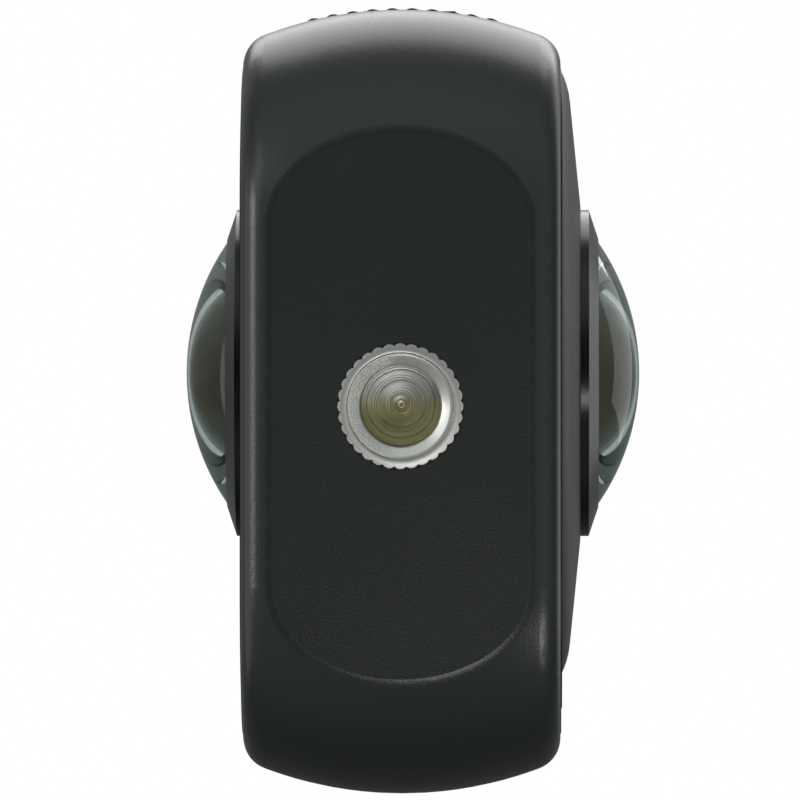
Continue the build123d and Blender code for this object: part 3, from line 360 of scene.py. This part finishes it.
def print_ring(material, middle_z, radius, half_line, ink):
    """Prints a ring of ink round a place on the front face, in the material's own colour input."""
    tree = material.node_tree
    shader = tree.nodes["Principled BSDF"]
    place = tree.nodes.new("ShaderNodeTexCoord")
    moved = tree.nodes.new("ShaderNodeVectorMath")
    moved.operation = "SUBTRACT"
    moved.inputs[1].default_value = (0, 0, middle_z)
    tree.links.new(place.outputs["Object"], moved.inputs[0])
    flat = tree.nodes.new("ShaderNodeVectorMath")
    flat.operation = "MULTIPLY"
    flat.inputs[1].default_value = (1, 0, 1)
    tree.links.new(moved.outputs[0], flat.inputs[0])
    reach = tree.nodes.new("ShaderNodeVectorMath")
    reach.operation = "LENGTH"
    tree.links.new(flat.outputs[0], reach.inputs[0])
    away = tree.nodes.new("ShaderNodeMath")
    away.operation = "SUBTRACT"
    away.inputs[1].default_value = radius
    tree.links.new(reach.outputs["Value"], away.inputs[0])
    size = tree.nodes.new("ShaderNodeMath")
    size.operation = "ABSOLUTE"
    tree.links.new(away.outputs[0], size.inputs[0])
    inked = tree.nodes.new("ShaderNodeMapRange")
    inked.inputs["From Min"].default_value = half_line + ink_edge
    inked.inputs["From Max"].default_value = half_line - ink_edge
    tree.links.new(size.outputs[0], inked.inputs["Value"])
    mixed = tree.nodes.new("ShaderNodeMix")
    mixed.data_type = "RGBA"
    mixed.inputs["B"].default_value = (*ink, 1)
    tree.links.new(inked.outputs["Result"], mixed.inputs["Factor"])
    tree.links.new(shader.inputs["Base Color"].links[0].from_socket, mixed.inputs["A"])
    tree.links.new(mixed.outputs["Result"], shader.inputs["Base Color"])


shutter_middle = (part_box("shutter_button")[0].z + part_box("shutter_button")[1].z) / 2
power_middle = (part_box("power_button")[0].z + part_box("power_button")[1].z) / 2
print_ring(button_look, shutter_middle, radius=0.0036, half_line=0.00022, ink=(0.50, 0.03, 0.02))
print_ring(button_look, power_middle, radius=0.0013, half_line=0.00012, ink=(0.45, 0.45, 0.45))

# Port bezel: a moulded strip of smoother plastic, let into the side of the casing where the port and
# the card are.
port_look = grained(
    "port_plastic", (0.014, 0.014, 0.015), (0.026, 0.026, 0.027),
    roughness=0.35, cell=0.00012, relief=0.000008,
)
dress(["port_bezel"], port_look)

# Steel and plated pieces: the folded shells of the port and the card socket, the screws, and the gold
# plated contacts and pads of the battery.
steel_look = grained(
    "screw_steel", (0.42, 0.42, 0.41), (0.5, 0.5, 0.49),
    roughness=0.3, cell=0.0002, relief=0.000002, metal=1.0,
)
dress(
    ["usb_socket", "card_socket", "carrier_screws", "board_screws", "front_cover_screws",
     "rear_cover_screws"],
    steel_look,
)
gold_look = grained(
    "contact_metal", (0.75, 0.52, 0.2), (0.8, 0.6, 0.28),
    roughness=0.25, cell=0.0002, relief=0.000002, metal=1.0,
)
dress(["battery_contacts", "battery_pads"], gold_look)

# Boards and chips: green glass-fibre boards with black epoxy chips soldered on, the ceramic antenna,
# and the copper sheet that spreads the processor's heat.
board_look = grained(
    "circuit_board", (0.01, 0.07, 0.04), (0.02, 0.1, 0.06),
    roughness=0.4, cell=0.0006, relief=0.00001,
)
dress(
    ["port_board", "main_board", "button_board", "front_sensor_board", "rear_sensor_board"], board_look
)
chip_look = grained(
    "chip_epoxy", (0.02, 0.02, 0.022), (0.035, 0.035, 0.037),
    roughness=0.5, cell=0.0002, relief=0.000008,
)
dress(
    ["processor_chip", "memory_chips", "shutter_switch", "power_switch", "microphones", "speaker",
     "usb_tongue"],
    chip_look,
)
ceramic_look = grained(
    "antenna_ceramic", (0.6, 0.58, 0.52), (0.7, 0.68, 0.62),
    roughness=0.4, cell=0.0003, relief=0.000004,
)
dress(["wifi_antenna"], ceramic_look)
spreader_look = grained(
    "spreader_metal", (0.6, 0.35, 0.22), (0.66, 0.4, 0.27),
    roughness=0.3, cell=0.0004, relief=0.000003, metal=1.0,
)
dress(["heat_spreader"], spreader_look)

# Chassis and lens carrier: die-cast light alloy, bead blasted, inside the frame. They carry the boards
# and the two lenses.
chassis_look = grained(
    "chassis_metal", (0.3, 0.31, 0.32), (0.36, 0.37, 0.38),
    roughness=0.45, cell=0.0002, relief=0.00001, metal=1.0,
)
dress(["inner_chassis", "lens_carrier"], chassis_look)

# Battery cell, card and seals: the cell in its printed wrap, the moulded card, and the rubber seals
# of the cap's plug and of both lenses.
wrap_look = grained(
    "cell_wrap", (0.05, 0.055, 0.065), (0.07, 0.075, 0.085),
    roughness=0.35, cell=0.0008, relief=0.000004,
)
dress(["battery_cell"], wrap_look)
card_look = grained(
    "card_plastic", (0.02, 0.02, 0.022), (0.03, 0.03, 0.032),
    roughness=0.4, cell=0.0003, relief=0.000004,
)
dress(["memory_card"], card_look)
seal_look = grained(
    "seal_rubber", (0.16, 0.03, 0.02), (0.2, 0.045, 0.03),
    roughness=0.55, cell=0.0002, relief=0.000006,
)
dress(["battery_seal", "front_lens_seal", "rear_lens_seal"], seal_look)


# Tripod socket: a turned steel bush with 32 rounded knurl teeth, pressed in; a thin groove inside its
# flange, a coarse chamfer, a quarter-inch thread and a drilled floor with tool rings.
def grid_mesh(name, points):
    """A mesh from an array of points [row, column, xyz], in which each row closes on itself."""
    rows, columns = points.shape[:2]
    made = bpy.data.meshes.new(name)
    row = np.arange(rows - 1)[:, None]
    column = np.arange(columns)[None, :]
    after = (column + 1) % columns
    corners = np.stack(
        [
            row * columns + column,
            row * columns + after,
            (row + 1) * columns + after,
            (row + 1) * columns + column,
        ],
        axis=-1,
    ).reshape(-1, 4)
    made.from_pydata(points.reshape(-1, 3).tolist(), [], corners.tolist())
    made.polygons.foreach_set("use_smooth", np.ones(len(made.polygons), bool))
    made.update()
    made.validate()
    return made


def show(name, mesh, material, body, stands_for):
    """Puts a finished mesh in the scene in place of a CAD node and lets it move with its body."""
    piece = bpy.data.objects.new(name, mesh)
    bpy.context.scene.collection.objects.link(piece)
    mesh.materials.append(material)
    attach(piece, body)
    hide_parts(stands_for)


tooth_count = 32
steps_per_tooth = 10
tooth_tip = 0.003889
tooth_root = 0.003725
tooth_roundness = 0.4
core_radius = 0.0025
thread_pitch = 0.00127
thread_depth = 0.0005
thread_start = 0.00078
thread_end = 0.00535
thread_run_out = 0.0004
thread_rings = 64
flank_top = 1.4
flank_slope = 2.8
drilled_level = 0.00545
drilled_rise = 0.0007
drilled_outer = 0.00248
drilled_inner = 0.00003
drilled_rings = 110
ridge_pitch = 0.00016
ridge_height = 0.000011
beat_pitch = 0.00083
beat_phase = 0.6
tool_marks = (0.00024, 0.00065, 0.00148, 0.0021)
mark_half_width = 0.00004
mark_depth = 0.00003
back = 0.0068
face = 0.00002
# Each wall ring is a level and how far the teeth are drawn in there; the others are a radius and a level.
back_rings = [(0.0003, back), (0.0030, back), (0.0036, back)]
wall_rings = [
    (back - 0.00015, 0.0), (back / 2, 0.0), (0.0003, 0.0), (0.00012, 0.00003), (face, 0.00004),
    (face, 0.00006),
]
flange_rings = [
    (0.003690, face), (0.003640, 0.0), (0.003400, 0.0), (0.003310, 0.0), (0.003290, 0.00001),
    (0.003285, 0.00030), (0.003265, 0.00040), (0.003245, 0.00030), (0.003240, 0.00002),
    (0.003215, 0.00001), (0.003000, 0.00013), (0.002800, 0.00025), (0.002600, 0.00037),
    (0.002530, 0.00043), (0.002502, 0.00050), (0.002500, 0.00072),
]
turns = np.linspace(0, 2 * np.pi, tooth_count * steps_per_tooth, endpoint=False)


def level_ring(reach, level):
    """Points (reach cos t, reach sin t, level) round the socket's axis; reach may change with t."""
    return np.stack([reach * np.cos(turns), reach * np.sin(turns), np.full_like(turns, level)], axis=-1)


def tooth_reach():
    """Radius of the knurl at each turn t: root + (tip - root) (0.5 + 0.5 cos(count t))^roundness."""
    wave = 0.5 + 0.5 * np.cos(tooth_count * turns)
    return tooth_root + (tooth_tip - tooth_root) * wave**tooth_roundness


def thread_reach(z):
    """Radius of the thread at level z: core + depth * ramp * run_out, where ramp is
    top - slope |p - 0.5| cut to 0..1 and p is the fraction of z / pitch - t / (2 pi)."""
    phase = (z / thread_pitch - turns / (2 * np.pi)) % 1.0
    ramp = np.clip(flank_top - flank_slope * np.abs(phase - 0.5), 0, 1)
    run_in = np.clip((z - thread_start) / thread_run_out, 0, 1)
    run_out = run_in * np.clip((thread_end - z) / thread_run_out, 0, 1)
    return core_radius + thread_depth * ramp * run_out


def drilled_floor(r):
    """Level of the drilled floor at radius r: a cone, plus ridges cos(2 pi r / pitch) that swell and fade
    with a second cosine, plus marks exp(-((r - at) / half_width)^2)."""
    swell = 0.5 + 0.5 * np.cos(2 * np.pi * r / beat_pitch + beat_phase)
    ridges = np.cos(2 * np.pi * r / ridge_pitch) * swell
    marks = sum(np.exp(-(((r - at) / mark_half_width) ** 2)) for at in tool_marks)
    cone = drilled_level + drilled_rise * (1 - r / core_radius)
    return cone + ridge_height * ridges + mark_depth * marks


rows = [level_ring(r, z) for r, z in back_rings]
rows += [level_ring(tooth_reach() - drawn_in, z) for z, drawn_in in wall_rings]
rows += [level_ring(r, z) for r, z in flange_rings]
rows += [level_ring(thread_reach(z), z) for z in np.linspace(thread_start, thread_end, thread_rings)]
rows += [level_ring(r, drilled_floor(r)) for r in np.linspace(drilled_outer, drilled_inner, drilled_rings)]
insert_mesh = grid_mesh("tripod_insert_shown", np.array(rows)[:, ::-1])
insert_look = grained(
    "insert_steel", (0.77, 0.76, 0.72), (0.91, 0.90, 0.86),
    roughness=0.40, cell=0.00030, relief=0.000004, metal=1.0,
)
# The chamfer is left rough by the cutter, and the far side of the drilled floor is tinted yellow-olive:
# painted shade for the half of the floor that the bore light doesn't reach.
# Each pair below is where a value starts and where it is full.
painted_shade_colour = (0.95, 0.88, 0.50)
painted_shade_levels = (0.0050, 0.0053)
painted_shade_side = (0.0010, -0.0006)
chamfer_foot = (0.00001, 0.00004)
chamfer_top = (0.00050, 0.00042)
chatter_side = (0.0008, -0.0020)
chatter_cell = 0.00014
chatter_depth = 0.0001
chatter_detail = 4
chatter_roughness = 0.7
insert_tree = insert_look.node_tree
insert_shader = insert_tree.nodes["Principled BSDF"]
insert_place = insert_tree.nodes.new("ShaderNodeTexCoord")
insert_xyz = insert_tree.nodes.new("ShaderNodeSeparateXYZ")
insert_tree.links.new(insert_place.outputs["Object"], insert_xyz.inputs[0])


def fade(tree, source, low, high):
    """A value that rises from 0 to 1 while the source goes from low to high."""
    made = tree.nodes.new("ShaderNodeMapRange")
    made.interpolation_type = "SMOOTHSTEP"
    made.inputs["From Min"].default_value = low
    made.inputs["From Max"].default_value = high
    tree.links.new(source, made.inputs["Value"])
    return made.outputs["Result"]


def times(tree, first, second):
    """The product of the values of two sockets."""
    made = tree.nodes.new("ShaderNodeMath")
    made.operation = "MULTIPLY"
    tree.links.new(first, made.inputs[0])
    tree.links.new(second, made.inputs[1])
    return made.outputs[0]


# Painted shade: the -X half of the drilled floor is tinted yellow-olive, where the bore light doesn't
# reach.
painted_shade = times(
    insert_tree,
    fade(insert_tree, insert_xyz.outputs["Z"], *painted_shade_levels),
    fade(insert_tree, insert_xyz.outputs["X"], *painted_shade_side),
)
painted_shade_mix = insert_tree.nodes.new("ShaderNodeMix")
painted_shade_mix.data_type = "RGBA"
insert_tree.links.new(painted_shade, painted_shade_mix.inputs["Factor"])
insert_tree.links.new(insert_shader.inputs["Base Color"].links[0].from_socket, painted_shade_mix.inputs["A"])
painted_shade_mix.inputs["B"].default_value = (*painted_shade_colour, 1)
insert_tree.links.new(painted_shade_mix.outputs["Result"], insert_shader.inputs["Base Color"])
chamfer_band = times(
    insert_tree,
    fade(insert_tree, insert_xyz.outputs["Z"], *chamfer_foot),
    fade(insert_tree, insert_xyz.outputs["Z"], *chamfer_top),
)
speckle = insert_tree.nodes.new("ShaderNodeTexNoise")
speckle.inputs["Scale"].default_value = 1 / chatter_cell
speckle.inputs["Detail"].default_value = chatter_detail
speckle.inputs["Roughness"].default_value = chatter_roughness
insert_tree.links.new(insert_place.outputs["Object"], speckle.inputs["Vector"])
speckle_bump = insert_tree.nodes.new("ShaderNodeBump")
speckle_bump.inputs["Distance"].default_value = chatter_depth
chattered = times(insert_tree, chamfer_band, fade(insert_tree, insert_xyz.outputs["Y"], *chatter_side))
insert_tree.links.new(chattered, speckle_bump.inputs["Strength"])
insert_tree.links.new(speckle.outputs["Fac"], speckle_bump.inputs["Height"])
insert_tree.links.new(insert_shader.inputs["Normal"].links[0].from_socket, speckle_bump.inputs["Normal"])
insert_tree.links.new(speckle_bump.outputs["Normal"], insert_shader.inputs["Normal"])
show("tripod_insert_shown", insert_mesh, insert_look, "casing", "tripod_insert")

# Fill round the insert: the casing's plastic, which fills the valleys of the knurl where the insert is
# pressed in, just under the level of the teeth.
fill_level = 0.00011
fill_radii = (0.0036, 0.00378, 0.0039, 0.0040)
fill_mesh = grid_mesh("insert_fill", np.array([level_ring(r, fill_level) for r in fill_radii]))
fill_mesh.materials.append(casing_look)
insert_fill = bpy.data.objects.new("insert_fill", fill_mesh)
bpy.context.scene.collection.objects.link(insert_fill)
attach(insert_fill, "casing")


# Domes: the outer glass of each lens, ground and polished with a hollow behind it, clear with a faint
# green cast. Each is held by its bezel.
glass_index = 1.5
tint_noise_scale = 60
tint_dip = 0.97


def clear_glass(name, tint):
    """Glass with a faint tint of its own, given by a slow noise so that it isn't quite even."""
    made = bpy.data.materials.new(name)
    made.use_nodes = True
    tree = made.node_tree
    shader = tree.nodes["Principled BSDF"]
    shader.inputs["Roughness"].default_value = 0.0
    shader.inputs["IOR"].default_value = glass_index
    shader.inputs["Transmission Weight"].default_value = 1.0
    place = tree.nodes.new("ShaderNodeTexCoord")
    noise = tree.nodes.new("ShaderNodeTexNoise")
    noise.inputs["Scale"].default_value = tint_noise_scale
    tree.links.new(place.outputs["Object"], noise.inputs["Vector"])
    shades = tree.nodes.new("ShaderNodeMix")
    shades.data_type = "RGBA"
    shades.inputs["A"].default_value = (*tint, 1)
    shades.inputs["B"].default_value = (*(tint_dip * part for part in tint), 1)
    tree.links.new(noise.outputs["Fac"], shades.inputs["Factor"])
    tree.links.new(shades.outputs["Result"], shader.inputs["Base Color"])
    return made


glass_look = clear_glass("lens_glass", (0.58, 0.70, 0.67))
lens_axis_height = 0.091
steps_around = 192
around = np.linspace(0, 2 * np.pi, steps_around, endpoint=False)


def turned_about_lens(profile, side):
    """Points (r cos a, side depth, axis height + side r sin a) of a profile of (radius, depth) turned
    about the lens axis, on the rear (1) or the front (-1)."""
    rows = []
    for r, depth in profile:
        rows.append(
            np.stack(
                [
                    r * np.cos(around),
                    np.full_like(around, side * depth),
                    lens_axis_height + side * r * np.sin(around),
                ],
                axis=-1,
            )
        )
    return np.array(rows)


dome_radius = 0.0154
dome_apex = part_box("rear_lens_dome")[1].y
dome_rim = 0.0093
hollow_radius = 0.0065
dome_wall = 0.0014
hollow_apex = dome_apex - dome_wall
dome_back = 0.0102
rim_break = 0.0001
skin_pole_turn = 0.002
skin_rings = 40
hollow_pole_turn = 0.004
hollow_rings = 36
for side, end in ((-1, "front"), (1, "rear")):
    skin_turn = np.linspace(skin_pole_turn, np.arcsin(dome_rim / dome_radius), skin_rings)
    skin = [(dome_radius * np.sin(a), dome_apex - dome_radius * (1 - np.cos(a))) for a in skin_turn]
    hollow_edge_turn = np.arccos((dome_back - hollow_apex + hollow_radius) / hollow_radius)
    hollow_turn = np.linspace(hollow_edge_turn, hollow_pole_turn, hollow_rings)
    hollow = [
        (hollow_radius * np.sin(a), hollow_apex - hollow_radius * (1 - np.cos(a))) for a in hollow_turn
    ]
    rim = [(dome_rim, dome_back + rim_break), (dome_rim - rim_break, dome_back)]
    dome_mesh = grid_mesh(f"{end}_dome_shown", turned_about_lens(skin + rim + hollow, side))
    show(f"{end}_dome_shown", dome_mesh, glass_look, "casing", f"{end}_lens_dome")

# Dome seats and ground edges: the matt ring that each dome stands on, and the ground side of its
# glass. Both are painted pale teal, the side paler: painted light that stands in for the light coming
# through the rim of each dome.
# Painted light: the seat and the ground side are pale teal so that the outer zone of each dome shows
# light.
painted_light_seat_look = grained(
    "painted_light_glass_seat", (0.32, 0.40, 0.38), (0.38, 0.46, 0.44),
    roughness=0.5, cell=0.0002, relief=0.000003,
)
painted_light_edge_look = grained(
    "painted_light_ground_glass", (0.78, 0.86, 0.84), (0.86, 0.93, 0.91),
    roughness=0.5, cell=0.0002, relief=0.000003,
)
seat_inner = 0.0060
seat_outer = 0.00925
seat_middle = 0.0077
seat_depth = 0.01022
edge_drop = 0.0033
edge_middle = 0.011
edge_top = dome_apex - edge_drop
for side, end in ((-1, "front"), (1, "rear")):
    for name, look, profile in (
        ("dome_seat", painted_light_seat_look, [(r, seat_depth) for r in (seat_outer, seat_middle, seat_inner)]),
        ("dome_edge", painted_light_edge_look, [(seat_outer, depth) for depth in (edge_top, edge_middle, seat_depth)]),
    ):
        ring_mesh = grid_mesh(f"{end}_{name}", turned_about_lens(profile, side))
        ring_mesh.materials.append(look)
        ring = bpy.data.objects.new(f"{end}_{name}", ring_mesh)
        bpy.context.scene.collection.objects.link(ring)
        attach(ring, "casing")

# Inner elements: coated glass in the barrel behind each dome, drawn opaque and dark olive. The olive is
# the coating's tint; the darkness is painted shade, where the barrel's shaded inside would show through.
# The barrel holds them by their edges.
# Painted shade: the elements are opaque and dark in place of clear glass with the barrel's shade behind
# it.
element_look = grained(
    "element_glass", (0.085, 0.055, 0.014), (0.170, 0.112, 0.030),
    roughness=0.2, cell=0.0012, relief=0.0000005, specular=0.1,
)
dress(
    ["front_lens_middle_element", "rear_lens_middle_element", "front_lens_rear_group",
     "rear_lens_rear_group"],
    element_look,
)

# Bezels and barrels: black anodised rings that hold the domes, the ribbed tubes behind them, and the
# cover glass of the image sensors at their inner ends.
bezel_look = grained(
    "bezel_aluminium", (0.006, 0.006, 0.006), (0.012, 0.012, 0.012),
    roughness=0.22, cell=0.0001, relief=0.000003,
)
dress(["front_lens_bezel", "rear_lens_bezel"], bezel_look)
barrel_look = grained(
    "barrel_plastic", (0.02, 0.019, 0.014), (0.04, 0.037, 0.026),
    roughness=0.35, cell=0.0002, relief=0.000006,
)
dress(["front_lens_barrel", "rear_lens_barrel"], barrel_look)
sensor_look = grained(
    "sensor_glass", (0.02, 0.03, 0.05), (0.04, 0.04, 0.07),
    roughness=0.15, cell=0.0006, relief=0.000001, coat=0.5,
)
dress(["front_image_sensor", "rear_image_sensor"], sensor_look)

# Window and display: a clear gloss window let into the front cover, over a small lit panel that shows
# only plain bars.
window_look = clear_glass("window_plastic", (0.62, 0.64, 0.66))
dress(["display_window"], window_look)
panel_look = grained(
    "display_glass", (0.010, 0.011, 0.014), (0.016, 0.017, 0.020),
    roughness=0.2, cell=0.0004, relief=0.000001,
)
panel_tree = panel_look.node_tree
panel_shader = panel_tree.nodes["Principled BSDF"]
panel_place = panel_tree.nodes.new("ShaderNodeTexCoord")
panel_xyz = panel_tree.nodes.new("ShaderNodeSeparateXYZ")
panel_tree.links.new(panel_place.outputs["Object"], panel_xyz.inputs[0])
display_middle = (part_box("display_panel")[0].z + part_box("display_panel")[1].z) / 2
bar_edge = 0.00003


def bar(tree, xyz, x, z, half_width, half_height):
    """A value that is 1 in an upright box of the face and 0 outside it."""
    shares = []
    for axis, middle, half in (("X", x, half_width), ("Z", z, half_height)):
        away = tree.nodes.new("ShaderNodeMath")
        away.operation = "SUBTRACT"
        away.inputs[1].default_value = middle
        tree.links.new(xyz.outputs[axis], away.inputs[0])
        size = tree.nodes.new("ShaderNodeMath")
        size.operation = "ABSOLUTE"
        tree.links.new(away.outputs[0], size.inputs[0])
        shares.append(fade(tree, size.outputs[0], half + bar_edge, half - bar_edge))
    return times(tree, *shares)


display_bars = (
    (0.0, 0.0024, 0.0021, 0.00022), (0.0, 0.0012, 0.0024, 0.00022), (0.0, 0.0, 0.0024, 0.00022),
    (-0.0013, -0.0021, 0.0009, 0.0009), (0.0013, -0.0021, 0.0009, 0.0009),
)
bars = [
    bar(panel_tree, panel_xyz, x, display_middle + rise_z, half_width, half_height)
    for x, rise_z, half_width, half_height in display_bars
]
lit = bars[0]
for share in bars[1:]:
    added = panel_tree.nodes.new("ShaderNodeMath")
    added.operation = "ADD"
    added.use_clamp = True
    panel_tree.links.new(share, added.inputs[0])
    panel_tree.links.new(lit, added.inputs[1])
    lit = added.outputs[0]
panel_shader.inputs["Emission Color"].default_value = (0.75, 0.9, 1.0, 1)
panel_tree.links.new(lit, panel_shader.inputs["Emission Strength"])
dress(["display_panel"], panel_look)

# Status light: a small moulded light pipe of milky plastic, set in a hole in the front cover. It is
# shown unlit.
light_look = grained(
    "light_plastic", (0.5, 0.52, 0.5), (0.6, 0.62, 0.6),
    roughness=0.35, cell=0.0003, relief=0.000002,
)
dress(["status_light"], light_look)

# Grips: rubber pads let into the lower part of each cover. Their fine level ribs are a bump in the
# material; the pads themselves are plain.
grip_look = grained(
    "grip_rubber", (0.016, 0.016, 0.016), (0.028, 0.028, 0.028),
    roughness=0.6, cell=0.00015, relief=0.00001, specular=0.35,
)
grip_tree = grip_look.node_tree
grip_shader = grip_tree.nodes["Principled BSDF"]
grip_place = grip_tree.nodes.new("ShaderNodeTexCoord")
grip_ribs = grip_tree.nodes.new("ShaderNodeTexWave")
grip_ribs.wave_type = "BANDS"
grip_ribs.bands_direction = "Z"
rib_pitch = 0.0014
rib_relief = 0.00025
# A wave texture has 20 radians of wave in each unit of its scale.
wave_turns = 20 / (2 * np.pi)
grip_ribs.inputs["Scale"].default_value = 1 / (rib_pitch * wave_turns)
grip_tree.links.new(grip_place.outputs["Object"], grip_ribs.inputs["Vector"])
grip_bump = grip_tree.nodes.new("ShaderNodeBump")
grip_bump.inputs["Distance"].default_value = rib_relief
grip_tree.links.new(grip_ribs.outputs["Fac"], grip_bump.inputs["Height"])
grip_tree.links.new(grip_shader.inputs["Normal"].links[0].from_socket, grip_bump.inputs["Normal"])
grip_tree.links.new(grip_bump.outputs["Normal"], grip_shader.inputs["Normal"])
dress(["front_grip", "rear_grip"], grip_look)
